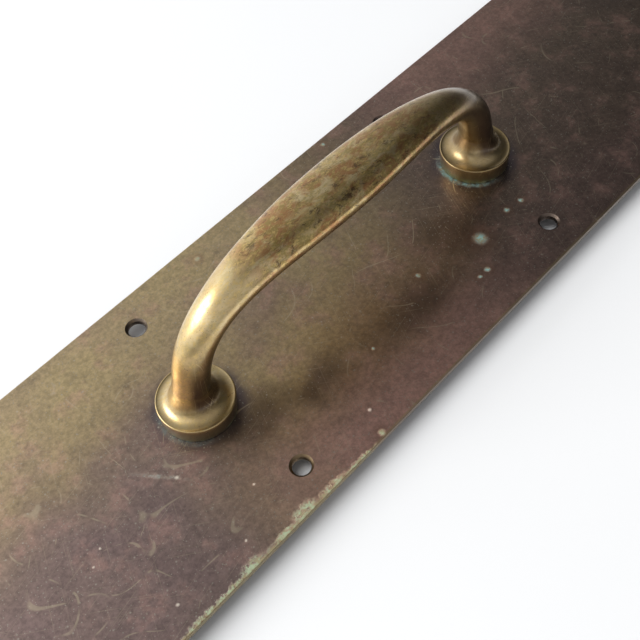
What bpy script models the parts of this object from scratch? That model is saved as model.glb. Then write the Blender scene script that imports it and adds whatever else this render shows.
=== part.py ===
"""A brass bow pull handle on a long rectangular back plate, for a door.

Metres, +Z points out of the door and +X along the plate. The origin is the centre of the plate's
back face, which is the face that lies on the door. The plate is sheet brass with a row of
countersunk screw holes along each long edge. The handle is one casting: an arched grip that
narrows into two round posts, each on a bell-shaped foot. A stud in each foot passes through the
plate and takes a washer and a nut behind it.
"""

import math

import bmesh
import bpy
from mathutils import Matrix, Vector

MM = 0.001
INCH = 0.0254

# Back plate
PLATE_LENGTH = 15.75 * INCH
PLATE_WIDTH = 4 * INCH
PLATE_THICKNESS = 3 / 32 * INCH
PLATE_EDGE_ROUND = 0.3 * MM
PLATE_MIDDLE_ENDS = (-50 * MM, 40 * MM)

# Screw holes: a row of four near each long edge, centred along the plate
SCREW_EDGE_MARGIN = 12.5 * MM
SCREW_PITCH = 4.9 * INCH
SCREWS_PER_ROW = 4
SCREW_HOLE_RADIUS = 3.0 * MM
COUNTERSINK_RADIUS = 3.7 * MM
COUNTERSINK_DEPTH = 0.7 * MM

# Handle: the arch is a superellipse over the two feet, measured from the plate's front face
HANDLE_CENTRES = 5.4375 * INCH
ARCH_HEIGHT = 44.6 * MM
ARCH_SPAN_POWER = 3.45
ARCH_RISE_POWER = 3.3
ARCH_STEPS = 44
GRIP_HALF_WIDTH = 10.4 * MM
GRIP_CROWN = 4.2 * MM
GRIP_BELLY = 5.5 * MM
GRIP_SQUARENESS = 2.6
GRIP_TAPER_END = 66.9 * MM
GRIP_FLATTENING = 0.62
POST_RADIUS = 6.0 * MM
RING_POINTS = 36

# Bell feet
FOOT_RADIUS = 0.5 * INCH
FOOT_BASE_RADIUS = 12.4 * MM
FOOT_RIM_HEIGHT = 6.6 * MM
FOOT_RIM_ROUND = 0.4 * MM
BELL_TOP_HEIGHT = 15.5 * MM
BELL_STEPS = 7
BELL_SWEEP_POWER = 2.2

# Fixings behind the plate: 3/16 inch studs with washers and hexagon nuts
STUD_RADIUS = 3 / 32 * INCH
STUD_REACH = 13 * MM
STUD_TIP_PAST_NUT = 0.8 * MM
STUD_END_CHAMFER = 0.5 * MM
WASHER_RADIUS = 0.25 * INCH
WASHER_THICKNESS = 0.9 * MM
NUT_ACROSS_FLATS = 3 / 8 * INCH
NUT_THICKNESS = 1 / 8 * INCH
NUT_CHAMFER = 0.5 * MM

FIT_GAP = 0.3 * MM
BORE_RADIUS = STUD_RADIUS + FIT_GAP
ROUND_STEPS = 32
MERGE_DISTANCE = 0.00005
CUT_PAST = 1 * MM

HALF_CENTRES = HANDLE_CENTRES / 2
SCREW_ROW_Y = PLATE_WIDTH / 2 - SCREW_EDGE_MARGIN
SCREW_ROW_REACH = SCREW_PITCH * (SCREWS_PER_ROW - 1) / 2
WASHER_TOP = -FIT_GAP
NUT_TOP = WASHER_TOP - WASHER_THICKNESS - FIT_GAP
NUT_BOTTOM = NUT_TOP - NUT_THICKNESS
STUD_BOTTOM = NUT_BOTTOM - STUD_TIP_PAST_NUT
STUD_TOP = PLATE_THICKNESS + STUD_REACH


def empty_scene():
    for old in list(bpy.data.objects):
        bpy.data.objects.remove(old, do_unlink=True)


def new_collection(name):
    collection = bpy.data.collections.new(name)
    bpy.context.scene.collection.children.link(collection)
    return collection


def metal(name, colour, roughness):
    material = bpy.data.materials.new(name)
    material.use_nodes = True
    shader = material.node_tree.nodes["Principled BSDF"]
    shader.inputs["Base Color"].default_value = (*colour, 1.0)
    shader.inputs["Metallic"].default_value = 1.0
    shader.inputs["Roughness"].default_value = roughness
    return material


def add_object(name, mesh, collection, material=None):
    piece = bpy.data.objects.new(name, mesh)
    collection.objects.link(piece)
    if material:
        mesh.materials.append(material)
    return piece


def mesh_from(bm, name):
    mesh = bpy.data.meshes.new(name)
    bmesh.ops.recalc_face_normals(bm, faces=bm.faces)
    bm.to_mesh(mesh)
    bm.free()
    return mesh


def turned(name, profile, collection, material=None):
    """A profile of (radius, height) points, top to bottom, swept round Z."""
    mesh = bpy.data.meshes.new(name)
    points = [(radius, 0, height) for radius, height in profile]
    closed = profile[0][0] > 0
    links = [(i, i + 1) for i in range(len(points) - 1)]
    if closed:
        links.append((len(points) - 1, 0))
    mesh.from_pydata(points, links, [])
    piece = add_object(name, mesh, collection, material)
    screw = piece.modifiers.new("Turn", "SCREW")
    screw.steps = ROUND_STEPS
    screw.render_steps = ROUND_STEPS
    screw.use_merge_vertices = True
    screw.merge_threshold = MERGE_DISTANCE
    screw.use_smooth_shade = True
    return piece


def as_cutter(piece):
    piece.hide_render = True
    piece.display_type = "WIRE"
    return piece


def combine(piece, cutter, operation):
    boolean = piece.modifiers.new("Cut", "BOOLEAN")
    boolean.operation = operation
    boolean.solver = "EXACT"
    boolean.object = cutter


def drill(name, radius, low, high, collection):
    profile = [(0, high), (radius, high), (radius, low), (0, low)]
    return as_cutter(turned(name, profile, collection))


def screw_hole_places():
    for row, y in enumerate((-SCREW_ROW_Y, SCREW_ROW_Y)):
        for column in range(SCREWS_PER_ROW):
            yield row, column, column * SCREW_PITCH - SCREW_ROW_REACH, y


def countersunk_drill(name, collection):
    shoulder = PLATE_THICKNESS - COUNTERSINK_DEPTH
    flare = COUNTERSINK_RADIUS - SCREW_HOLE_RADIUS
    top = PLATE_THICKNESS + CUT_PAST
    top_radius = COUNTERSINK_RADIUS + flare * CUT_PAST / COUNTERSINK_DEPTH
    profile = [
        (0, top),
        (top_radius, top),
        (SCREW_HOLE_RADIUS, shoulder),
        (SCREW_HOLE_RADIUS, -CUT_PAST),
        (0, -CUT_PAST),
    ]
    return as_cutter(turned(name, profile, collection))


def split_off_middle(bm):
    """Edges across the plate, so that the middle of its back has faces clear of the washers."""
    for x in PLATE_MIDDLE_ENDS:
        everything = bm.verts[:] + bm.edges[:] + bm.faces[:]
        bmesh.ops.bisect_plane(bm, geom=everything, plane_co=(x, 0, 0), plane_no=(1, 0, 0))


def make_back_plate(parts, cutters, material):
    bm = bmesh.new()
    size = (PLATE_LENGTH, PLATE_WIDTH, PLATE_THICKNESS)
    lift = Matrix.Translation((0, 0, PLATE_THICKNESS / 2))
    bmesh.ops.create_cube(bm, size=1, matrix=lift @ Matrix.Diagonal((*size, 1)))
    split_off_middle(bm)
    plate = add_object("back_plate", mesh_from(bm, "back_plate"), parts, material)
    ease = plate.modifiers.new("Eased edges", "BEVEL")
    ease.width = PLATE_EDGE_ROUND
    ease.segments = 1
    for row, column, x, y in screw_hole_places():
        cutter = countersunk_drill(f"screw_hole_{row}_{column}", cutters)
        cutter.location = (x, y, 0)
        combine(plate, cutter, "DIFFERENCE")
    for end, x in feet():
        name = f"stud_hole_{end}"
        cutter = drill(name, BORE_RADIUS, -CUT_PAST, PLATE_THICKNESS + CUT_PAST, cutters)
        cutter.location = (x, 0, 0)
        combine(plate, cutter, "DIFFERENCE")
    return plate


def feet():
    return (("a", -HALF_CENTRES), ("b", HALF_CENTRES))


def arch_height_angle(height):
    """The superellipse's angle at a height above the plate's front face."""
    return math.asin((height / ARCH_HEIGHT) ** (ARCH_RISE_POWER / 2))


def arch_point(angle):
    """A point of the arch's centre line, as x and height above the plate's front face."""
    across = abs(math.cos(angle)) ** (2 / ARCH_SPAN_POWER)
    rise = abs(math.sin(angle)) ** (2 / ARCH_RISE_POWER)
    return Vector((-math.copysign(HALF_CENTRES * across, math.cos(angle)), ARCH_HEIGHT * rise))


def evenly_spaced(points, steps):
    """Points at equal distances along a polyline, both ends included."""
    lengths = [0.0]
    for before, after in zip(points, points[1:]):
        lengths.append(lengths[-1] + (after - before).length)
    spaced = []
    index = 0
    for step in range(steps + 1):
        target = lengths[-1] * step / steps
        while index < len(points) - 2 and lengths[index + 1] < target:
            index += 1
        share = (target - lengths[index]) / (lengths[index + 1] - lengths[index])
        spaced.append(points[index].lerp(points[index + 1], min(share, 1.0)))
    return spaced


def arch_line():
    """The centre line from the top of one bell to the top of the other."""
    start = arch_height_angle(BELL_TOP_HEIGHT)
    fine_steps = 2000
    span = math.pi - 2 * start
    fine = [arch_point(start + span * i / fine_steps) for i in range(fine_steps + 1)]
    return evenly_spaced(fine, ARCH_STEPS)


def bell_profile():
    """(radius, height above the plate's front face) up one foot, from its base to the post."""
    profile = [(FOOT_BASE_RADIUS, FIT_GAP), (FOOT_RADIUS, FOOT_RIM_HEIGHT - FOOT_RIM_ROUND)]
    sweep = FOOT_RADIUS - FOOT_RIM_ROUND - POST_RADIUS
    rise = BELL_TOP_HEIGHT - FOOT_RIM_HEIGHT
    for step in range(BELL_STEPS):
        angle = math.pi / 2 * step / BELL_STEPS
        inward = math.sin(angle) ** (2 / BELL_SWEEP_POWER)
        upward = 1 - math.cos(angle) ** (2 / BELL_SWEEP_POWER)
        profile.append((POST_RADIUS + sweep * (1 - inward), FOOT_RIM_HEIGHT + rise * upward))
    return profile


def rounded(angle, half_width, crown, belly, squareness):
    """A point of the grip's section: across the grip, and outward from the centre line."""
    power = 2 / squareness
    across = math.copysign(abs(math.cos(angle)) ** power, math.cos(angle))
    outward = math.copysign(abs(math.sin(angle)) ** power, math.sin(angle))
    depth = crown if outward > 0 else belly
    return half_width * across, depth * outward


def grip_section(x):
    """Half width, crown, belly and squareness of the grip at x: widest in the middle."""
    fullness = max(0.0, 1 - (x / GRIP_TAPER_END) ** 2) ** 2
    flatness = max(0.0, 1 - (x / HALF_CENTRES) ** 2) ** GRIP_FLATTENING
    half_width = POST_RADIUS + (GRIP_HALF_WIDTH - POST_RADIUS) * fullness
    crown = POST_RADIUS + (GRIP_CROWN - POST_RADIUS) * flatness
    belly = POST_RADIUS + (GRIP_BELLY - POST_RADIUS) * flatness
    squareness = 2 + (GRIP_SQUARENESS - 2) * fullness
    return half_width, crown, belly, squareness


def bell_ring(x, radius, height):
    z = PLATE_THICKNESS + height
    side = math.copysign(1, x)
    ring = []
    for i in range(RING_POINTS):
        angle = 2 * math.pi * i / RING_POINTS
        ring.append(Vector((x + side * radius * math.sin(angle), radius * math.cos(angle), z)))
    return ring


def arch_ring(before, here, after):
    """The grip's section at one point of the centre line, square to it."""
    along = (after - before).normalized()
    outward = Vector((-along.y, along.x))
    size = grip_section(here.x)
    ring = []
    for i in range(RING_POINTS):
        across, out = rounded(2 * math.pi * i / RING_POINTS, *size)
        flat = here + outward * out
        ring.append(Vector((flat.x, across, PLATE_THICKNESS + flat.y)))
    return ring


def handle_rings():
    line = arch_line()
    first_foot = [bell_ring(-HALF_CENTRES, radius, height) for radius, height in bell_profile()]
    last_foot = [bell_ring(HALF_CENTRES, radius, height) for radius, height in bell_profile()]
    arch = [arch_ring(*line[i - 1 : i + 2]) for i in range(1, len(line) - 1)]
    return first_foot + arch + last_foot[::-1]


def loft(rings, name):
    bm = bmesh.new()
    rows = [[bm.verts.new(point) for point in ring] for ring in rings]
    for lower, upper in zip(rows, rows[1:]):
        for i in range(RING_POINTS):
            j = (i + 1) % RING_POINTS
            bm.faces.new((lower[i], lower[j], upper[j], upper[i]))
    bm.faces.new(rows[0])
    bm.faces.new(rows[-1][::-1])
    return mesh_from(bm, name)


def make_handle(parts, cutters, material):
    mesh = loft(handle_rings(), "pull_handle")
    mesh.shade_smooth()
    mesh.set_sharp_from_angle(angle=math.radians(40))
    handle = add_object("pull_handle", mesh, parts, material)
    for end, x in feet():
        top = STUD_TOP + FIT_GAP
        cutter = drill(f"tapped_hole_{end}", BORE_RADIUS, -CUT_PAST, top, cutters)
        cutter.location = (x, 0, 0)
        combine(handle, cutter, "DIFFERENCE")
    return handle


def make_stud(end, x, parts, material):
    chamfer = STUD_END_CHAMFER
    profile = [
        (0, STUD_TOP),
        (STUD_RADIUS - chamfer, STUD_TOP),
        (STUD_RADIUS, STUD_TOP - chamfer),
        (STUD_RADIUS, STUD_BOTTOM + chamfer),
        (STUD_RADIUS - chamfer, STUD_BOTTOM),
        (0, STUD_BOTTOM),
    ]
    stud = turned(f"stud_{end}", profile, parts, material)
    stud.location = (x, 0, 0)
    return stud


def make_washer(end, x, parts, material):
    bottom = WASHER_TOP - WASHER_THICKNESS
    profile = [
        (WASHER_RADIUS, WASHER_TOP),
        (WASHER_RADIUS, bottom),
        (BORE_RADIUS, bottom),
        (BORE_RADIUS, WASHER_TOP),
    ]
    washer = turned(f"washer_{end}", profile, parts, material)
    washer.location = (x, 0, 0)
    return washer


def make_nut(end, x, parts, cutters, material):
    corner = NUT_ACROSS_FLATS / math.sqrt(3)
    profile = [
        (corner - NUT_CHAMFER, NUT_TOP),
        (corner, NUT_TOP - NUT_CHAMFER),
        (corner, NUT_BOTTOM + NUT_CHAMFER),
        (corner - NUT_CHAMFER, NUT_BOTTOM),
        (BORE_RADIUS, NUT_BOTTOM),
        (BORE_RADIUS, NUT_TOP),
    ]
    nut = turned(f"nut_{end}", profile, parts, material)
    nut.location = (x, 0, 0)
    bm = bmesh.new()
    bmesh.ops.create_cone(
        bm,
        cap_ends=True,
        segments=6,
        radius1=corner,
        radius2=corner,
        depth=NUT_THICKNESS + 2 * CUT_PAST,
        matrix=Matrix.Translation((0, 0, (NUT_TOP + NUT_BOTTOM) / 2)),
    )
    hexagon = add_object(f"hexagon_{end}", mesh_from(bm, f"hexagon_{end}"), cutters)
    hexagon.location = (x, 0, 0)
    combine(nut, as_cutter(hexagon), "INTERSECT")
    return nut


def main():
    empty_scene()
    parts = new_collection("pull_plate")
    cutters = new_collection("cutters")
    plate_brass = metal("plate_brass", (0.17, 0.13, 0.075), 0.5)
    handle_brass = metal("handle_brass", (0.42, 0.31, 0.14), 0.3)
    fixing_brass = metal("fixing_brass", (0.36, 0.27, 0.13), 0.45)
    make_back_plate(parts, cutters, plate_brass)
    make_handle(parts, cutters, handle_brass)
    for end, x in feet():
        make_stud(end, x, parts, fixing_brass)
        make_washer(end, x, parts, fixing_brass)
        make_nut(end, x, parts, cutters, fixing_brass)


main()
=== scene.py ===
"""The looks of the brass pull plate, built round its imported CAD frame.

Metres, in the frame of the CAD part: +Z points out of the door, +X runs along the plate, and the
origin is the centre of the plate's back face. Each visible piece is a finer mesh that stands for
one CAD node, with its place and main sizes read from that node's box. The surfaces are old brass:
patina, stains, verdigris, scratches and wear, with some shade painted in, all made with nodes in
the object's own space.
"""

import math

import bmesh
import bpy
from mathutils import Matrix, Vector, noise

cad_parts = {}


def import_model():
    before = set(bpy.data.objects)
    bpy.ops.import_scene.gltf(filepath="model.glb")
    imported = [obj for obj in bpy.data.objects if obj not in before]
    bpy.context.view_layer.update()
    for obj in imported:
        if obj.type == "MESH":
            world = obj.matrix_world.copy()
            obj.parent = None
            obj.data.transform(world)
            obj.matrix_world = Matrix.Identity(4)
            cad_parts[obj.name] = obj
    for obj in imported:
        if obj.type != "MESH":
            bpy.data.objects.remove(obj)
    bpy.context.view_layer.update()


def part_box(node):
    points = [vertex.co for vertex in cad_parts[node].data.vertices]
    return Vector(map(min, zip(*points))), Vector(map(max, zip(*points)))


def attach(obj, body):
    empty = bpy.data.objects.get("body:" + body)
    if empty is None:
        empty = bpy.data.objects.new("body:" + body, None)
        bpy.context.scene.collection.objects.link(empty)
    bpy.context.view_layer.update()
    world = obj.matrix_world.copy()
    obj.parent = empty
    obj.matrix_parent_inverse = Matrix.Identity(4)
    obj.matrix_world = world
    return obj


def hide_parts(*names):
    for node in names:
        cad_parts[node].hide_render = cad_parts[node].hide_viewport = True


MM = 0.001

# Camera
CAMERA_PLACE = (-0.14363, -0.14762, 0.27175)
CAMERA_TURN = (34.70, 3.88, -46.75)
CAMERA_LENS = 55.98
SENSOR_WIDTH = 36

# Lamps: a window and a weak fill aimed at the origin, and an even key light from one direction
WINDOW_PLACE = (-0.78, 0.72, 0.78)
WINDOW_SIZE = 0.75
WINDOW_POWER = 7
FILL_PLACE = (-0.85, -0.05, 0.62)
FILL_SIZE = 0.8
FILL_POWER = 1.0
KEY_FROM = (-0.20, 0.20, 0.8)
KEY_ANGLE = 39
KEY_POWER = 1.75

# Surroundings: each side's glow starts where a direction's cosine with that side passes a value
ROOM_COLOUR = (0.97, 0.98, 1.0)
WALL_STRENGTH = 0.85
BRIGHT_SIDE = (-0.30, 0.95, 0.0)
BRIGHT_SIDE_START = 0.08
BRIGHT_SIDE_STRENGTH = 1.2
DIM_SIDE_STRENGTH = 0.05
FRONT_SIDE = (-0.30, -0.65, 0.70)
FRONT_GLOW_START = 0.48
FRONT_GLOW = 0.54
FLOOR_HALF_SIZE = 2.5
FLOOR_GREY = (0.80, 0.81, 0.82)
FLOOR_PALE = (0.86, 0.86, 0.86)

# Back plate
PLATE_EDGE_ROUND = 0.35 * MM
FLAT_FACING = 0.999
SCREW_PITCH = 124.46 * MM
SCREWS_PER_ROW = 4
SCREW_EDGE_MARGIN = 12.5 * MM
SCREW_HOLE_RADIUS = 3.0 * MM
COUNTERSINK_RADIUS = 3.7 * MM
COUNTERSINK_DEPTH = 0.7 * MM
HOLE_RIM_ROUND = 0.15 * MM

# Handle
FOOT_RADIUS = 12.7 * MM
FOOT_BASE_RADIUS = 12.35 * MM
FOOT_RIM_HEIGHT = 6.6 * MM
RIM_ROUND = 0.4 * MM
GROOVE_RADIUS = 11.7 * MM
GROOVE_DROP = 0.08 * MM
BELL_TOP_HEIGHT = 15.5 * MM
BELL_SWEEP_POWER = 2.2
POST_RADIUS = 6.0 * MM
ARCH_SPAN_POWER = 3.45
ARCH_RISE_POWER = 3.3
GRIP_HALF_WIDTH = 10.4 * MM
GRIP_CROWN = 4.2 * MM
GRIP_BELLY = 5.5 * MM
GRIP_SQUARENESS = 2.6
GRIP_TAPER_END = 66.9 * MM
GRIP_FLATTENING = 0.62
ARCH_STEPS = 190
BELL_STEPS = 22
RING_POINTS = 96
CAST_WAVES = 0.07 * MM
CAST_WAVE_SIZE = 14 * MM
CAST_RIPPLE = 0.012 * MM
CAST_RIPPLE_SIZE = 4 * MM

# Fixings behind the plate
THREAD_PITCH = 1.06 * MM
THREAD_DEPTH = 0.5 * MM
NUT_ACROSS_FLATS = 9.525 * MM
NUT_CHAMFER = 0.5 * MM
EDGE_SOFTENING = 0.18 * MM
TOUCH = 0.02 * MM


# ---------------------------------------------------------------- meshes


def add_piece(name, bm, material, smooth_angle=40):
    mesh = bpy.data.meshes.new(name)
    bmesh.ops.recalc_face_normals(bm, faces=bm.faces)
    bm.to_mesh(mesh)
    bm.free()
    piece = bpy.data.objects.new(name, mesh)
    bpy.context.scene.collection.objects.link(piece)
    mesh.shade_smooth()
    mesh.set_sharp_from_angle(angle=math.radians(smooth_angle))
    mesh.materials.append(material)
    return piece


def settle(piece, cutters):
    """Applies a piece's modifiers and removes the cutters that they used."""
    graph = bpy.context.evaluated_depsgraph_get()
    mesh = bpy.data.meshes.new_from_object(piece.evaluated_get(graph))
    piece.modifiers.clear()
    piece.data = mesh
    for cutter in cutters:
        bpy.data.objects.remove(cutter, do_unlink=True)


def turned(profile, steps):
    """A bmesh of (radius, height) points swept round Z, closed if they start off the axis."""
    bm = bmesh.new()
    closed = profile[0][0] > 0
    rings = []
    for radius, height in profile:
        if radius == 0:
            rings.append([bm.verts.new((0, 0, height))])
            continue
        turns = [2 * math.pi * i / steps for i in range(steps)]
        rings.append([bm.verts.new((radius * math.cos(t), radius * math.sin(t), height)) for t in turns])
    pairs = list(zip(rings, rings[1:]))
    if closed:
        pairs.append((rings[-1], rings[0]))
    for upper, lower in pairs:
        join_rings(bm, upper, lower)
    return bm


def join_rings(bm, upper, lower):
    count = max(len(upper), len(lower))
    for i in range(count):
        j = (i + 1) % count
        if len(upper) == 1:
            bm.faces.new((upper[0], lower[i], lower[j]))
        elif len(lower) == 1:
            bm.faces.new((upper[i], lower[0], upper[j]))
        else:
            bm.faces.new((upper[i], lower[i], lower[j], upper[j]))


def arc(centre, radius, start, end, steps):
    """(radius, height) points on a round corner, between two angles in degrees."""
    points = []
    for step in range(steps + 1):
        angle = math.radians(start + (end - start) * step / steps)
        points.append((centre[0] + radius * math.cos(angle), centre[1] + radius * math.sin(angle)))
    return points


def screw_hole_places(half_width):
    reach = SCREW_PITCH * (SCREWS_PER_ROW - 1) / 2
    for y in (SCREW_EDGE_MARGIN - half_width, half_width - SCREW_EDGE_MARGIN):
        for column in range(SCREWS_PER_ROW):
            yield column * SCREW_PITCH - reach, y


def screw_hole_cutter(top):
    shoulder = top - COUNTERSINK_DEPTH
    rim = COUNTERSINK_RADIUS + HOLE_RIM_ROUND
    profile = [
        (0, top + MM),
        (rim + MM, top + MM),
        (rim, top),
        (COUNTERSINK_RADIUS, top - HOLE_RIM_ROUND),
        (SCREW_HOLE_RADIUS + HOLE_RIM_ROUND / 2, shoulder),
        (SCREW_HOLE_RADIUS, shoulder - HOLE_RIM_ROUND),
        (SCREW_HOLE_RADIUS, HOLE_RIM_ROUND),
        (SCREW_HOLE_RADIUS + HOLE_RIM_ROUND, 0),
        (SCREW_HOLE_RADIUS + 2 * HOLE_RIM_ROUND, -MM),
        (0, -MM),
    ]
    return turned(profile, 64)


def make_plate(material):
    low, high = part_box("back_plate")
    bm = bmesh.new()
    place = Matrix.Translation((low + high) / 2) @ Matrix.Diagonal((*(high - low), 1))
    bmesh.ops.create_cube(bm, size=1, matrix=place)
    bmesh.ops.bevel(
        bm, geom=bm.edges[:], offset=PLATE_EDGE_ROUND, segments=3, profile=0.5, affect="EDGES"
    )
    plate = add_piece("plate", bm, material, 30)
    cutters = []
    for x, y in screw_hole_places(high.y):
        cutters.append(add_piece("screw_hole", screw_hole_cutter(high.z), material))
        cutters[-1].location = (x, y, 0)
    for node in ("stud_a", "stud_b"):
        stud_low, stud_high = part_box(node)
        profile = [(0, high.z + MM), (stud_high.y, high.z + MM), (stud_high.y, -MM), (0, -MM)]
        cutters.append(add_piece("stud_hole", turned(profile, 48), material))
        cutters[-1].location = ((stud_low.x + stud_high.x) / 2, 0, 0)
    for cutter in cutters:
        cut = plate.modifiers.new("Cut", "BOOLEAN")
        cut.operation = "DIFFERENCE"
        cut.solver = "EXACT"
        cut.object = cutter
    settle(plate, cutters)
    plate.data.set_sharp_from_angle(angle=math.radians(35))
    # The two big faces are shaded flat, so that the long triangles the holes leave don't show
    for face in plate.data.polygons:
        face.use_smooth = abs(face.normal.z) < FLAT_FACING
    return plate


def foot_profile():
    """(radius, height above the plate) up one foot: wall, rounded rim, groove, bell."""
    rim_centre = (FOOT_RADIUS - RIM_ROUND, FOOT_RIM_HEIGHT - RIM_ROUND)
    profile = [(FOOT_BASE_RADIUS - EDGE_SOFTENING, TOUCH), (FOOT_BASE_RADIUS, EDGE_SOFTENING)]
    wall_steps = 6
    for step in range(1, wall_steps):
        share = step / wall_steps
        radius = FOOT_BASE_RADIUS + (FOOT_RADIUS - FOOT_BASE_RADIUS) * share
        profile.append((radius, rim_centre[1] * share))
    profile += arc(rim_centre, RIM_ROUND, 0, 115, 8)
    groove = (GROOVE_RADIUS, FOOT_RIM_HEIGHT - GROOVE_DROP)
    rise = BELL_TOP_HEIGHT - groove[1]
    for step in range(BELL_STEPS):
        angle = math.pi / 2 * step / BELL_STEPS
        inward = math.sin(angle) ** (2 / BELL_SWEEP_POWER)
        upward = 1 - math.cos(angle) ** (2 / BELL_SWEEP_POWER)
        radius = POST_RADIUS + (groove[0] - POST_RADIUS) * (1 - inward)
        profile.append((radius, groove[1] + rise * upward))
    return profile


def arch_line(half_centres, height):
    """Evenly spaced (x, height) points of the centre line, from one bell's top to the other's."""
    start = math.asin((BELL_TOP_HEIGHT / height) ** (ARCH_RISE_POWER / 2))
    fine_steps = 3000
    fine = []
    for i in range(fine_steps + 1):
        angle = start + (math.pi - 2 * start) * i / fine_steps
        across = half_centres * abs(math.cos(angle)) ** (2 / ARCH_SPAN_POWER)
        rise = height * math.sin(angle) ** (2 / ARCH_RISE_POWER)
        fine.append(Vector((-math.copysign(across, math.cos(angle)), rise)))
    reach = [0.0]
    for before, after in zip(fine, fine[1:]):
        reach.append(reach[-1] + (after - before).length)
    line = []
    index = 0
    for step in range(ARCH_STEPS + 1):
        while index < fine_steps and reach[index] < reach[-1] * step / ARCH_STEPS:
            index += 1
        line.append(fine[index])
    return line


def grip_outline(x, half_centres, turn):
    """A point of the grip's section at x: across the grip, and outward from the centre line."""
    fullness = max(0.0, 1 - (x / GRIP_TAPER_END) ** 2) ** 2
    flatness = max(0.0, 1 - (x / half_centres) ** 2) ** GRIP_FLATTENING
    half_width = POST_RADIUS + (GRIP_HALF_WIDTH - POST_RADIUS) * fullness
    crown = POST_RADIUS + (GRIP_CROWN - POST_RADIUS) * flatness
    belly = POST_RADIUS + (GRIP_BELLY - POST_RADIUS) * flatness
    power = 2 / (2 + (GRIP_SQUARENESS - 2) * fullness)
    across = math.copysign(abs(math.cos(turn)) ** power, math.cos(turn))
    outward = math.copysign(abs(math.sin(turn)) ** power, math.sin(turn))
    return half_width * across, (crown if outward > 0 else belly) * outward


def cast_unevenness(point):
    """How far a hand-finished casting stands off its true surface at a point."""
    waves = noise.noise(point / CAST_WAVE_SIZE)
    ripple = noise.noise(point / CAST_RIPPLE_SIZE + Vector((7, 3, 5)))
    return CAST_WAVES * waves + CAST_RIPPLE * ripple


def make_handle(material):
    plate_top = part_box("back_plate")[1].z
    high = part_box("pull_handle")[1]
    half_centres = high.x - FOOT_RADIUS
    height = high.z - plate_top - GRIP_CROWN
    turns = [2 * math.pi * i / RING_POINTS for i in range(RING_POINTS)]

    def foot_rings(x):
        side = math.copysign(1, x)
        for radius, above in foot_profile():
            yield [
                Vector((x + side * radius * math.sin(t), radius * math.cos(t), plate_top + above))
                for t in turns
            ]

    rings = list(foot_rings(-half_centres))
    line = arch_line(half_centres, height)
    for before, here, after in zip(line, line[1:], line[2:]):
        along = (after - before).normalized()
        outward = Vector((-along.y, along.x))
        ring = []
        for turn in turns:
            across, out = grip_outline(here.x, half_centres, turn)
            flat = here + outward * out
            ring.append(Vector((flat.x, across, plate_top + flat.y)))
        rings.append(ring)
    rings += list(foot_rings(half_centres))[::-1]

    bm = bmesh.new()
    rows = [[bm.verts.new(point) for point in ring] for ring in rings]
    for lower, upper in zip(rows, rows[1:]):
        join_rings(bm, upper, lower)
    bm.faces.new(rows[0])
    bm.faces.new(rows[-1][::-1])
    bm.normal_update()
    for vertex in bm.verts:
        if vertex.co.z > plate_top + MM:
            vertex.co += vertex.normal * cast_unevenness(vertex.co)
    return add_piece("handle", bm, material, 50)


def make_stud(end, material):
    """A threaded rod: each ring's radius follows the thread's ridge round and up the rod."""
    low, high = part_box(f"stud_{end}")
    centre = (low + high) / 2
    outer = (high.y - low.y) / 2
    steps_round = 32
    steps_up = round((high.z - low.z) / THREAD_PITCH * 6)
    bm = bmesh.new()
    rings = [[bm.verts.new((centre.x, centre.y, low.z))]]
    for step in range(steps_up + 1):
        z = low.z + (high.z - low.z) * step / steps_up
        from_end = min(z - low.z, high.z - z)
        limit = outer - max(0.0, THREAD_DEPTH - from_end)
        ring = []
        for i in range(steps_round):
            phase = (z / THREAD_PITCH - i / steps_round) % 1
            ridge = 1 - abs(2 * phase - 1)
            radius = min(limit, outer - THREAD_DEPTH * (1 - min(1, 1.25 * ridge)))
            turn = 2 * math.pi * i / steps_round
            ring.append(bm.verts.new((centre.x + radius * math.cos(turn), radius * math.sin(turn), z)))
        rings.append(ring)
    rings.append([bm.verts.new((centre.x, centre.y, high.z))])
    for upper, lower in zip(rings, rings[1:]):
        join_rings(bm, upper, lower)
    return add_piece(f"threaded_stud_{end}", bm, material, 35)


def make_washer(end, material):
    low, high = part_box(f"washer_{end}")
    outer = (high.y - low.y) / 2
    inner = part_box(f"stud_{end}")[1].y + 2 * EDGE_SOFTENING
    top = -TOUCH
    soft = EDGE_SOFTENING
    profile = arc((outer - soft, top - soft), soft, 90, 0, 3)
    profile += arc((outer - soft, low.z + soft), soft, 0, -90, 3)
    profile += arc((inner + soft, low.z + soft), soft, -90, -180, 3)
    profile += arc((inner + soft, top - soft), soft, 180, 90, 3)
    bm = turned(profile, 64)
    for vertex in bm.verts:
        vertex.co.x += (low.x + high.x) / 2
    return add_piece(f"plain_washer_{end}", bm, material, 50)


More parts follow.
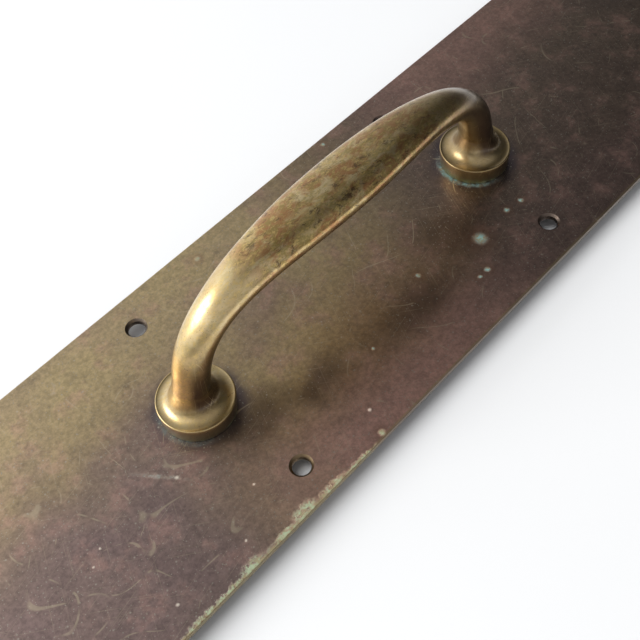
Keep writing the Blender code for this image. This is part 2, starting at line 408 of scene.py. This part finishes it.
def make_nut(end, material):
    """A hexagon nut: a turned blank with chamfered faces, cut to a hexagon."""
    low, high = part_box(f"nut_{end}")
    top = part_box(f"washer_{end}")[0].z - TOUCH
    corner = NUT_ACROSS_FLATS / math.sqrt(3)
    chamfer = NUT_CHAMFER
    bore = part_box(f"stud_{end}")[1].y + TOUCH
    profile = [
        (bore + chamfer, top),
        (corner - chamfer, top),
        (corner, top - chamfer * 0.6),
        (corner, low.z + chamfer * 0.6),
        (corner - chamfer, low.z),
        (bore + chamfer, low.z),
        (bore, low.z + chamfer),
        (bore, top - chamfer),
    ]
    nut = add_piece(f"hexagon_nut_{end}", turned(profile, 96), material, 20)
    nut.location.x = (low.x + high.x) / 2
    bm = bmesh.new()
    bmesh.ops.create_cone(
        bm,
        cap_ends=True,
        segments=6,
        radius1=corner,
        radius2=corner,
        depth=4 * (top - low.z),
        matrix=Matrix.Translation((0, 0, low.z)),
    )
    upright = [edge for edge in bm.edges if abs(edge.verts[0].co.z - edge.verts[1].co.z) > MM]
    bmesh.ops.bevel(bm, geom=upright, offset=EDGE_SOFTENING, segments=3, profile=0.5, affect="EDGES")
    hexagon = add_piece("hexagon", bm, material)
    hexagon.location = nut.location
    cut = nut.modifiers.new("Cut", "BOOLEAN")
    cut.operation = "INTERSECT"
    cut.solver = "EXACT"
    cut.object = hexagon
    settle(nut, [hexagon])
    nut.data.set_sharp_from_angle(angle=math.radians(20))
    return nut


# ---------------------------------------------------------------- materials


class Graph:
    """A material's node tree. Each call adds nodes and gives back the socket with their result."""

    def __init__(self, name):
        self.material = bpy.data.materials.new(name)
        self.material.use_nodes = True
        self.tree = self.material.node_tree
        self.shader = self.tree.nodes["Principled BSDF"]
        coordinates = self.node("ShaderNodeTexCoord").outputs
        self.place = coordinates["Object"]
        self.facing = coordinates["Normal"]

    def node(self, kind, inputs=(), **settings):
        made = self.tree.nodes.new(kind)
        for setting, value in settings.items():
            setattr(made, setting, value)
        for key, value in dict(inputs).items():
            self.feed(made.inputs[key], value)
        return made

    def feed(self, socket, value):
        if isinstance(value, bpy.types.NodeSocket):
            self.tree.links.new(value, socket)
        elif hasattr(socket.default_value, "__len__") and len(socket.default_value) == 4:
            socket.default_value = (*value, 1.0)
        else:
            socket.default_value = value

    def math(self, operation, first, second=0.0):
        return self.node("ShaderNodeMath", {0: first, 1: second}, operation=operation).outputs[0]

    def all_of(self, *masks):
        result = masks[0]
        for mask in masks[1:]:
            result = self.math("MULTIPLY", result, mask)
        return result

    def any_of(self, masks):
        result = masks[0]
        for mask in masks[1:]:
            result = self.math("MAXIMUM", result, mask)
        return result

    def ramp(self, value, low, high, to_low=0.0, to_high=1.0):
        """A smooth step: to_low where value is at low, to_high where it is at high."""
        inputs = {"Value": value, "From Min": low, "From Max": high, "To Min": to_low, "To Max": to_high}
        return self.node("ShaderNodeMapRange", inputs, interpolation_type="SMOOTHSTEP").outputs[0]

    def noise(self, size, detail=3.0, roughness=0.55, place=None, distortion=0.0):
        """Noise from 0 to 1 with blobs of about the given size in metres."""
        inputs = {
            "Vector": place or self.place,
            "Scale": 1 / size,
            "Detail": detail,
            "Roughness": roughness,
            "Distortion": distortion,
        }
        return self.node("ShaderNodeTexNoise", inputs).outputs["Fac"]

    def warped(self, size, amount, place=None):
        """The place, pushed about by noise, which makes a plain outline ragged."""
        inputs = {"Vector": place or self.place, "Scale": 1 / size, "Detail": 3.0}
        push = self.node("ShaderNodeTexNoise", inputs).outputs["Color"]
        centred = self.vector("SUBTRACT", push, (0.5, 0.5, 0.5))
        return self.vector("ADD", place or self.place, self.vector("SCALE", centred, scale=amount))

    def vector(self, operation, first, second=None, scale=None):
        inputs = {0: first}
        if second is not None:
            inputs[1] = second
        if scale is not None:
            inputs["Scale"] = scale
        made = self.node("ShaderNodeVectorMath", inputs, operation=operation)
        return made.outputs["Value" if operation in ("LENGTH", "DISTANCE", "DOT_PRODUCT") else "Vector"]

    def axes(self, place=None):
        return self.node("ShaderNodeSeparateXYZ", {0: place or self.place}).outputs

    def mix(self, share, first, second, blend="MIX"):
        made = self.node("ShaderNodeMix", data_type="RGBA", blend_type=blend)
        self.feed(made.inputs["Factor"], share)
        self.feed(made.inputs[6], first)
        self.feed(made.inputs[7], second)
        return made.outputs[2]

    def mark(self, place, centre, half_length, half_width=None, turn=0.0, edge=0.5):
        """1 inside an ellipse on the plate's face, falling to 0 at its outline."""
        inputs = {
            "Vector": place,
            "Location": (*centre, 0.0),
            "Rotation": (0.0, 0.0, math.radians(turn)),
            "Scale": (half_length, half_width or half_length, 1.0),
        }
        local = self.node("ShaderNodeMapping", inputs, vector_type="TEXTURE").outputs[0]
        return self.ramp(self.vector("LENGTH", local), 1.0, edge)

    def specks(self, spacing, size, share, dimensions="3D"):
        """Small round specks, one in some of the cells of a cell pattern."""
        inputs = {"Vector": self.place, "Scale": 1 / spacing, "Randomness": 1.0}
        cells = self.node("ShaderNodeTexVoronoi", inputs, voronoi_dimensions=dimensions)
        near = self.ramp(cells.outputs["Distance"], size / spacing, 0.4 * size / spacing)
        chosen = self.axes(cells.outputs["Color"])[0]
        return self.all_of(near, self.ramp(chosen, 1 - share, 1 - share + 0.02))

    def hairlines(self, turn, length, width, amount):
        """Fine scratches that run at one angle: the ridges of stretched noise."""
        inputs = {
            "Vector": self.place,
            "Rotation": (0.0, 0.0, math.radians(turn)),
            "Scale": (length, width, length),
        }
        stretched = self.node("ShaderNodeMapping", inputs, vector_type="TEXTURE").outputs[0]
        inputs = {"Vector": stretched, "Scale": 1.0, "Detail": 2.0}
        lines = self.node("ShaderNodeTexNoise", inputs).outputs["Fac"]
        return self.ramp(lines, 0.72 - amount, 0.80 - amount)

    def swirls(self, size, width):
        """Curved scratches: the lines where smooth noise crosses its middle value, broken up."""
        level = self.noise(size, 0.0)
        off = self.math("ABSOLUTE", self.math("SUBTRACT", level, 0.5))
        line = self.ramp(off, width / size, 0.4 * width / size)
        return self.all_of(line, self.ramp(self.noise(0.3 * size, 2.0), 0.52, 0.62))

    def grey(self, value):
        return self.node("ShaderNodeCombineXYZ", {0: value, 1: value, 2: value}).outputs[0]

    def bump(self, height, distance, strength):
        inputs = {"Height": height, "Distance": distance, "Strength": strength}
        return self.node("ShaderNodeBump", inputs).outputs[0]

    def finish(self, colour, roughness, metallic, normal, film=0.0, film_roughness=0.0):
        """Wires up the shader. The film is a thin clear layer, such as wax or old lacquer."""
        self.shader.inputs["Coat Weight"].default_value = film
        self.shader.inputs["Coat Roughness"].default_value = film_roughness
        self.feed(self.shader.inputs["Base Color"], colour)
        self.feed(self.shader.inputs["Roughness"], roughness)
        self.feed(self.shader.inputs["Metallic"], metallic)
        self.feed(self.shader.inputs["Normal"], normal)
        return self.material


# The plate's colours, then its coat of old wax
OLIVE_BRASS = (0.53, 0.395, 0.20)
LIGHT_OLIVE = (0.68, 0.53, 0.28)
PURPLE_BROWN = (0.34, 0.225, 0.185)
COOL_BROWN = (0.29, 0.20, 0.19)
RED_BROWN = (0.58, 0.33, 0.27)
FAR_BROWN = (0.20, 0.14, 0.115)
# A warm brown painted as the handle's shade on the plate
HANDLE_SHADE_BROWN = (0.38, 0.25, 0.125)
# A dark brown painted as the shadow of the handle and its feet on the plate
PAINTED_SHADOW_BROWN = (0.12, 0.075, 0.045)
STAIN = (0.10, 0.075, 0.065)
COOL_STAIN = (0.11, 0.085, 0.095)
VERDIGRIS = (0.20, 0.40, 0.37)
PALE_CRUST = (0.33, 0.42, 0.26)
OLIVE_CRUST = (0.24, 0.20, 0.09)
PALE_SPECK = (0.60, 0.55, 0.45)
SCRATCH_BRASS = (0.66, 0.55, 0.38)
RUST_HALO = (0.34, 0.17, 0.10)
WORN_EDGE = (0.46, 0.34, 0.17)
EDGE_SHADE = (0.22, 0.155, 0.06)
PLATE_FILM = 0.6
PLATE_FILM_ROUGHNESS = 0.38

# Broad tints of the plate: colour, strength, and in mm where each fades in along x and y. All are patina
# except the warm brown on the -Y side of the handle, which is painted shade of the handle.
PLATE_ZONES = (
    (LIGHT_OLIVE, 0.50, (35, -20), (8, 40)),
    (COOL_BROWN, 0.90, (-55, -100), (36, -12)),
    (RED_BROWN, 0.75, (-100, -45), (-10, -42)),
    # Painted shade: the handle's shadow on the -Y side of the plate, from its middle to its far end
    (HANDLE_SHADE_BROWN, 0.60, (-52, -12), (22, -12)),
    (RED_BROWN, 0.85, (-78, -36), (-22, -42)),
    (FAR_BROWN, 0.85, (-10, 60), None),
    (RED_BROWN, 0.60, (35, 90), (15, 42)),
)

# Marks on the plate's face, in mm from its centre: the centre, the half sizes and, where a mark
# is turned, its angle in degrees
VERDIGRIS_SPOTS = (
    ((41, -25), 3.0),
    ((57, -24), 1.3),
    ((64, -25), 1.1),
    ((32, -35), 1.2),
    ((28, -35), 0.9),
    ((15, -19), 1.1),
    ((-29, 44), 1.3),
    ((39, 48), 1.1),
    ((-17, -27), 0.8),
    ((-38, -49), 1.4),
)
PALE_SPOTS = (
    ((-34.5, -41), 1.0),
    ((-90, -13), 1.1),
    ((-116, -42), 0.8),
    ((-120, -13), 0.6),
    ((-125, -16), 0.6),
    ((-90, -43), 0.6),
    ((-76, -32), 0.6),
)
# Painted shadow of the handle and its feet: darker patches on the plate beside them, on the -Y side
PAINTED_SHADOW_PATCHES = (
    ((-57, -16), 19, 12),
    ((-38, -22), 18, 9),
    ((4, -27), 26, 11),
    ((36, -12), 18, 13),
)
CRUST_PATCHES = (
    ((-49, -50.6), 9, 1.2),
    ((-61, -50.3), 8, 2.2),
    ((-72, -49.6), 6, 3.6),
    ((-82, -50.4), 9, 2.0),
    ((-94, -50.0), 6, 2.8),
    ((-103, -50.5), 9, 1.5),
    ((-114, -50.5), 8, 1.7),
    ((-127, -50.6), 9, 1.1),
)
SCRATCHES = (
    ((12, 9), 7, 0.16, 62),
    ((0, -3), 8, 0.14, 48),
    ((-15, -36), 4, 0.18, 80),
    ((100, -5), 9, 0.15, 75),
    ((-83, 23), 5, 0.18, 20),
    ((-76, 23), 5, 0.16, -18),
    ((-98, 12), 5, 0.16, 85),
    ((-99, 4), 4, 0.16, 95),
    ((-108, -18), 3, 0.18, 30),
)
STREAK = ((-93, -9), 13, 1.3, -54)

# A dark halo round each foot, and a ring of green crust on one side of it, fainter at the near foot
HALO_OUTER = 18.5 * MM
HALO_INNER = 13 * MM
RING_OUTER = 14.6 * MM
RING_INNER = 13.0 * MM
RING_SIDE = (-0.97, -0.24, 0.0)
NEAR_RING_STRENGTH = 0.35
FAR_RING_STRENGTH = 1.0

# Dust on the plate: the spacing and the size of the specks, in mm
DUST = ((1.5, 0.2), (2.9, 0.28), (6.3, 0.4))


def plate_material(foot_places):
    g = Graph("aged_plate_brass")
    face = g.vector("MULTIPLY", g.place, (1.0, 1.0, 0.0))
    ragged = g.warped(2.5 * MM, 1.2 * MM, face)
    x, y, _ = g.axes(g.warped(40 * MM, 26 * MM, face))
    broad = g.noise(34 * MM, 4.0)
    cloudy = g.noise(9 * MM, 5.0, 0.62)
    fine = g.noise(1.5 * MM, 4.0, 0.7)

    colour = g.mix(g.ramp(broad, 0.38, 0.68, 0.0, 0.7), OLIVE_BRASS, PURPLE_BROWN)
    for tint, strength, across_x, across_y in PLATE_ZONES:
        zone = g.ramp(x, across_x[0] * MM, across_x[1] * MM, 0.0, strength)
        if across_y:
            zone = g.all_of(zone, g.ramp(y, across_y[0] * MM, across_y[1] * MM))
        colour = g.mix(zone, colour, tint)
    colour = g.mix(g.ramp(cloudy, 0.5, 0.68, 0.0, 0.35), colour, RED_BROWN)
    colour = g.mix(g.ramp(g.noise(5 * MM, 4.0, 0.7), 0.52, 0.7, 0.0, 0.22), colour, STAIN)
    colour = g.mix(1.0, colour, g.grey(g.ramp(fine, 0.25, 0.75, 0.74, 1.20)), "MULTIPLY")

    # Painted shadow: darker brown patches beside the handle and its feet
    drifting = g.warped(16 * MM, 12 * MM, face)
    shade = g.any_of(
        [g.mark(drifting, place_of(c), a * MM, b * MM, edge=0.1) for c, a, b in PAINTED_SHADOW_PATCHES]
    )
    colour = g.mix(g.math("MULTIPLY", shade, 0.7), colour, PAINTED_SHADOW_BROWN)

    halos = []
    rings = []
    for place in foot_places:
        distance = g.vector("DISTANCE", g.warped(5 * MM, 4 * MM, face), (*place, 0.0))
        halos.append(g.ramp(distance, HALO_OUTER, HALO_INNER))
        from_foot = g.vector("SUBTRACT", ragged, (*place, 0.0))
        round_foot = g.ramp(g.vector("LENGTH", from_foot), RING_OUTER, RING_INNER)
        to_side = g.vector("DOT_PRODUCT", from_foot, RING_SIDE)
        strength = FAR_RING_STRENGTH if place[0] > 0 else NEAR_RING_STRENGTH
        rings.append(g.all_of(round_foot, g.ramp(to_side, 2 * MM, 12 * MM, 0.0, strength)))
    colour = g.mix(g.math("MULTIPLY", g.any_of(halos), 0.88), colour, COOL_STAIN)
    ring = g.all_of(g.any_of(rings), g.ramp(fine, 0.35, 0.6, 0.25, 0.8))

    pits = g.specks(2.9 * MM, 0.28 * MM, 0.35, "2D")
    dust = g.any_of([g.specks(spacing * MM, size * MM, 0.4, "2D") for spacing, size in DUST])
    colour = g.mix(g.math("MULTIPLY", pits, 0.45), colour, STAIN)
    colour = g.mix(g.math("MULTIPLY", dust, 0.55), colour, PALE_SPECK)

    lines = g.any_of([g.hairlines(turn, 24 * MM, 0.3 * MM, 0.08) for turn in (12, 64, -38)])
    swirls = g.any_of([g.swirls(size * MM, 0.14 * MM) for size in (21, 34)])
    marks = g.any_of([g.mark(ragged, place_of(c), a * MM, b * MM, t) for c, a, b, t in SCRATCHES])
    scratches = ((lines, 0.3), (swirls, 0.45), (marks, 0.5))
    worn = g.any_of([g.math("MULTIPLY", mask, strength) for mask, strength in scratches])
    colour = g.mix(worn, colour, SCRATCH_BRASS)

    rust = g.any_of([g.mark(ragged, place_of(c), 3.0 * r * MM, edge=0.0) for c, r in VERDIGRIS_SPOTS])
    colour = g.mix(g.math("MULTIPLY", rust, 0.45), colour, RUST_HALO)
    spots = g.any_of([g.mark(ragged, place_of(c), 1.2 * r * MM, edge=0.1) for c, r in VERDIGRIS_SPOTS])
    torn = g.warped(1.1 * MM, 2.4 * MM, ragged)
    crust = g.any_of([g.mark(torn, place_of(c), a * MM, b * MM, edge=0.4) for c, a, b in CRUST_PATCHES])
    crust = g.all_of(crust, g.ramp(g.noise(0.9 * MM, 4.0, 0.75), 0.36, 0.52))
    centre, half_length, half_width, turn = STREAK
    streak = g.mark(ragged, place_of(centre), half_length * MM, half_width * MM, turn, edge=0.0)
    green = g.any_of([spots, ring, crust, g.all_of(streak, g.ramp(fine, 0.3, 0.7, 0.05, 0.45))])
    pale = g.any_of([g.mark(ragged, place_of(c), r * MM, edge=0.1) for c, r in PALE_SPOTS])
    low_edge = g.axes(face)[1]
    crust_colour = g.mix(g.ramp(low_edge, -40 * MM, -46 * MM), VERDIGRIS, PALE_CRUST)
    olive = g.ramp(g.noise(2.3 * MM, 4.0, 0.7), 0.46, 0.58, 0.0, 0.8)
    crust_colour = g.mix(olive, crust_colour, OLIVE_CRUST)
    colour = g.mix(g.ramp(low_edge, -49.7 * MM, -50.5 * MM, 0.0, 0.6), colour, WORN_EDGE)
    colour = g.mix(g.math("MULTIPLY", green, 0.85), colour, crust_colour)
    colour = g.mix(g.math("MULTIPLY", pale, 0.7), colour, PALE_SPECK)

    wall = g.ramp(g.axes(g.facing)[2], 0.97, 0.7)
    golden = g.all_of(g.ramp(low_edge, 0.0, -50 * MM), g.ramp(x, -30 * MM, -55 * MM, 0.15, 1.0))
    colour = g.mix(g.math("MULTIPLY", wall, 0.85), colour, g.mix(golden, STAIN, EDGE_SHADE))

    mineral = g.any_of([g.math("MULTIPLY", green, 0.9), g.math("MULTIPLY", pale, 0.8)])
    roughness = g.math("ADD", g.ramp(cloudy, 0.3, 0.7, 0.33, 0.45), g.math("MULTIPLY", mineral, 0.35))
    height = g.math("ADD", g.math("MULTIPLY", fine, 0.2), mineral)
    normal = g.bump(height, 0.12 * MM, 0.6)
    metallic = g.math("SUBTRACT", 1.0, mineral)
    return g.finish(colour, roughness, metallic, normal, PLATE_FILM, PLATE_FILM_ROUGHNESS)


def place_of(millimetres):
    return tuple(value * MM for value in millimetres)


# The handle's colours, the side of its feet and posts that is painted dark as shade, and its worn
# lacquer
GOLD_BRASS = (0.86, 0.69, 0.38)
TAN_BRASS = (0.72, 0.53, 0.24)
BRIGHT_FLECK = (0.84, 0.60, 0.22)
RED_TARNISH = (0.50, 0.23, 0.08)
OLIVE_TARNISH = (0.40, 0.30, 0.085)
# A brown used both for real tarnish and for painted shade on the handle
BROWN_TARNISH_AND_SHADE = (0.29, 0.20, 0.09)
GRIP_STAIN = (0.11, 0.065, 0.03)
# A dark brown used both for real tarnish and pits and for painted shade on the handle
DARK_TARNISH_AND_SHADE = (0.08, 0.045, 0.022)
# The side of the feet and posts, facing away from the lamps, that is darkened as painted shade
SHADOW_SIDE = (0.55, -0.83, 0.0)
HANDLE_FILM = 0.7
HANDLE_FILM_ROUGHNESS = 0.18


def handle_material():
    g = Graph("worn_handle_brass")
    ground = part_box("back_plate")[1].z
    x, y, z = g.axes()
    along = g.vector("MULTIPLY", g.place, (0.6, 1.0, 1.0))
    broad = g.noise(13 * MM, 4.0, 0.6)
    blotches = g.noise(6 * MM, 5.0, 0.68, along, 0.6)
    mottle = g.noise(2.2 * MM, 5.0, 0.7, along, 0.4)
    fine = g.noise(0.7 * MM, 3.0, 0.6)
    middle = g.ramp(g.math("ABSOLUTE", g.math("SUBTRACT", x, 8 * MM)), 60 * MM, 36 * MM)
    far_end_tarnish_and_shade = g.ramp(x, 0.0, 60 * MM)

    colour = g.mix(g.ramp(broad, 0.38, 0.62), GOLD_BRASS, TAN_BRASS)
    red = g.all_of(g.ramp(blotches, 0.41, 0.57), g.ramp(middle, 0.0, 1.0, 0.15, 0.92))
    colour = g.mix(red, colour, RED_TARNISH)
    olive = g.all_of(g.ramp(mottle, 0.43, 0.60), g.ramp(middle, 0.0, 1.0, 0.30, 0.80))
    colour = g.mix(olive, colour, OLIVE_TARNISH)
    dark_blotches = g.noise(3.2 * MM, 6.0, 0.8, along, 0.5)
    dark = g.all_of(g.ramp(dark_blotches, 0.54, 0.63), g.ramp(middle, 0.0, 1.0, 0.12, 0.8))
    colour = g.mix(dark, colour, GRIP_STAIN)
    flecks = g.noise(1.1 * MM, 4.0, 0.75, along)
    colour = g.mix(g.ramp(flecks, 0.50, 0.64, 0.0, 0.75), colour, BRIGHT_FLECK)
    # The far end is browner: partly tarnish, partly painted shade
    colour = g.mix(g.math("MULTIPLY", far_end_tarnish_and_shade, 0.55), colour, BROWN_TARNISH_AND_SHADE)
    # Painted shade: the far post and bend are darkened above the bell
    raised = g.ramp(z, ground + 8 * MM, ground + 26 * MM, 0.0, 0.8)
    far_bend_shade = g.all_of(g.ramp(x, 44 * MM, 62 * MM), raised)
    colour = g.mix(far_bend_shade, colour, DARK_TARNISH_AND_SHADE)
    foot_top = g.ramp(z, ground + 15 * MM, ground + 9 * MM)
    colour = g.mix(g.math("MULTIPLY", foot_top, 0.3), colour, BROWN_TARNISH_AND_SHADE)
    dull_side = g.all_of(g.ramp(g.axes(g.facing)[1], -0.3, 0.35), g.ramp(x, -40 * MM, -15 * MM))
    colour = g.mix(g.math("MULTIPLY", dull_side, 0.2), colour, BROWN_TARNISH_AND_SHADE)
    # Painted shade: the faces that look down are made browner and darker
    downward_shade = g.ramp(g.axes(g.facing)[2], 0.2, -0.3)
    colour = g.mix(g.math("MULTIPLY", downward_shade, 0.7), colour, BROWN_TARNISH_AND_SHADE)
    # Painted shade: the side of the posts and feet facing away from the lamps is darkened, with
    # blotches, up to the grip and down the foot's wall
    to_shadow_side = g.ramp(g.vector("DOT_PRODUCT", g.facing, SHADOW_SIDE), 0.0, 0.52)
    lower = g.ramp(z, ground + 42 * MM, ground + 14 * MM)
    side_shade = g.all_of(to_shadow_side, lower, g.ramp(blotches, 0.3, 0.55, 0.75, 0.97))
    above_rim = g.ramp(z, ground + 7 * MM, ground + 10 * MM, 0.2, 1.0)
    wall = g.ramp(z, ground + 6 * MM, ground + 5 * MM)
    side_shade = g.all_of(side_shade, g.any_of([above_rim, g.math("MULTIPLY", wall, 0.8)]))
    colour = g.mix(side_shade, colour, DARK_TARNISH_AND_SHADE)

    lines = g.any_of([g.hairlines(turn, 9 * MM, 0.25 * MM, 0.08) for turn in (25, -50)])
    colour = g.mix(g.math("MULTIPLY", lines, 0.3), colour, GOLD_BRASS)
    pits = g.specks(1.1 * MM, 0.2 * MM, 0.7)
    colour = g.mix(g.math("MULTIPLY", pits, 0.45), colour, DARK_TARNISH_AND_SHADE)

    low = g.ramp(g.axes(g.warped(3 * MM, 1.5 * MM))[2], ground + 1.4 * MM, ground + 0.2 * MM)
    crust = g.all_of(low, g.ramp(g.noise(2.5 * MM, 4.0, 0.7), 0.42, 0.6))
    foot = g.ramp(z, ground + 7 * MM, ground + 5 * MM)
    colour = g.mix(g.math("MULTIPLY", foot, 0.45), colour, OLIVE_TARNISH)
    colour = g.mix(g.math("MULTIPLY", crust, 0.6), colour, PALE_CRUST)

    metallic = g.math("SUBTRACT", 1.0, g.math("MULTIPLY", crust, 0.7))
    roughness = g.math("ADD", g.ramp(mottle, 0.3, 0.7, 0.27, 0.40), g.math("MULTIPLY", crust, 0.3))
    height = g.math("ADD", g.math("MULTIPLY", mottle, 0.6), g.math("MULTIPLY", fine, 0.25))
    normal = g.bump(height, 0.04 * MM, 0.6)
    return g.finish(colour, roughness, metallic, normal, HANDLE_FILM, HANDLE_FILM_ROUGHNESS)


def fixing_material():
    g = Graph("dull_fixing_brass")
    cloudy = g.noise(4 * MM, 4.0)
    fine = g.noise(0.8 * MM, 4.0, 0.65)
    colour = g.mix(g.ramp(cloudy, 0.35, 0.7), TAN_BRASS, OLIVE_TARNISH)
    colour = g.mix(g.ramp(fine, 0.6, 0.75, 0.0, 0.6), colour, DARK_TARNISH_AND_SHADE)
    roughness = g.ramp(fine, 0.3, 0.7, 0.35, 0.55)
    return g.finish(colour, roughness, 1.0, g.bump(fine, 0.04 * MM, 0.5))


def floor_material():
    g = Graph("pale_floor")
    colour = g.mix(g.noise(0.4, 3.0), FLOOR_GREY, FLOOR_PALE)
    return g.finish(colour, 0.7, 0.0, g.bump(g.noise(3 * MM), 0.02 * MM, 0.3))


# ---------------------------------------------------------------- stage


def add_camera():
    camera = bpy.data.cameras.new("camera")
    camera.lens = CAMERA_LENS
    camera.sensor_width = SENSOR_WIDTH
    camera.clip_start = 10 * MM
    holder = bpy.data.objects.new("camera", camera)
    holder.location = CAMERA_PLACE
    holder.rotation_euler = [math.radians(angle) for angle in CAMERA_TURN]
    bpy.context.scene.collection.objects.link(holder)
    bpy.context.scene.camera = holder


def add_softbox(name, place, size, power):
    light = bpy.data.lights.new(name, "AREA")
    light.shape = "DISK"
    light.size = size
    light.energy = power
    holder = bpy.data.objects.new(name, light)
    holder.location = place
    holder.rotation_euler = (-Vector(place)).to_track_quat("-Z", "Y").to_euler()
    bpy.context.scene.collection.objects.link(holder)


def add_key():
    """Even light from above for the floor, left out of reflections in the metal."""
    light = bpy.data.lights.new("key", "SUN")
    light.angle = math.radians(KEY_ANGLE)
    light.energy = KEY_POWER
    holder = bpy.data.objects.new("key", light)
    holder.rotation_euler = (-Vector(KEY_FROM)).to_track_quat("-Z", "Y").to_euler()
    holder.visible_glossy = False
    bpy.context.scene.collection.objects.link(holder)


def glow_towards(tree, direction, side, start, low, high):
    """A strength that grows from low to high as a direction turns towards one side."""
    cosine = tree.nodes.new("ShaderNodeVectorMath")
    cosine.operation = "DOT_PRODUCT"
    cosine.inputs[1].default_value = Vector(side).normalized()
    tree.links.new(direction, cosine.inputs[0])
    glow = tree.nodes.new("ShaderNodeMapRange")
    glow.inputs["From Min"].default_value = start
    glow.inputs["From Max"].default_value = 1.0
    glow.inputs["To Min"].default_value = low
    glow.inputs["To Max"].default_value = high
    tree.links.new(cosine.outputs["Value"], glow.inputs["Value"])
    return glow.outputs[0]


def add_surroundings():
    """A room with one bright side, a dim glow in front, and a pale wall where it is looked at."""
    world = bpy.data.worlds.new("studio")
    world.use_nodes = True
    tree = world.node_tree
    shader = tree.nodes["Background"]
    shader.inputs["Color"].default_value = (*ROOM_COLOUR, 1.0)
    direction = tree.nodes.new("ShaderNodeTexCoord").outputs["Generated"]
    bright = glow_towards(
        tree, direction, BRIGHT_SIDE, BRIGHT_SIDE_START, DIM_SIDE_STRENGTH, BRIGHT_SIDE_STRENGTH
    )
    front = glow_towards(tree, direction, FRONT_SIDE, FRONT_GLOW_START, 0.0, FRONT_GLOW)
    both = tree.nodes.new("ShaderNodeMath")
    tree.links.new(bright, both.inputs[0])
    tree.links.new(front, both.inputs[1])
    seen = tree.nodes.new("ShaderNodeLightPath").outputs["Is Camera Ray"]
    strength = tree.nodes.new("ShaderNodeMix")
    strength.inputs[3].default_value = WALL_STRENGTH
    tree.links.new(seen, strength.inputs[0])
    tree.links.new(both.outputs[0], strength.inputs[2])
    tree.links.new(strength.outputs[0], shader.inputs["Strength"])
    bpy.context.scene.world = world


def add_floor(height):
    bm = bmesh.new()
    bmesh.ops.create_grid(bm, x_segments=8, y_segments=8, size=FLOOR_HALF_SIZE)
    floor = add_piece("floor", bm, floor_material())
    floor.location.z = height


def main():
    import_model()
    bpy.context.scene.view_settings.view_transform = "Standard"

    studs = [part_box(f"stud_{end}") for end in "ab"]
    foot_places = [((low.x + high.x) / 2, (low.y + high.y) / 2) for low, high in studs]

    plate = make_plate(plate_material(foot_places))
    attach(plate, "root")
    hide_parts("back_plate")

    handle = make_handle(handle_material())
    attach(handle, "root")
    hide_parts("pull_handle")

    brass = fixing_material()
    for end in "ab":
        for node, make in (("stud", make_stud), ("washer", make_washer), ("nut", make_nut)):
            piece = make(end, brass)
            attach(piece, "root")
            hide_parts(f"{node}_{end}")

    add_floor(studs[0][0].z)
    add_softbox("window", WINDOW_PLACE, WINDOW_SIZE, WINDOW_POWER)
    add_softbox("fill", FILL_PLACE, FILL_SIZE, FILL_POWER)
    add_key()
    add_surroundings()
    add_camera()


main()
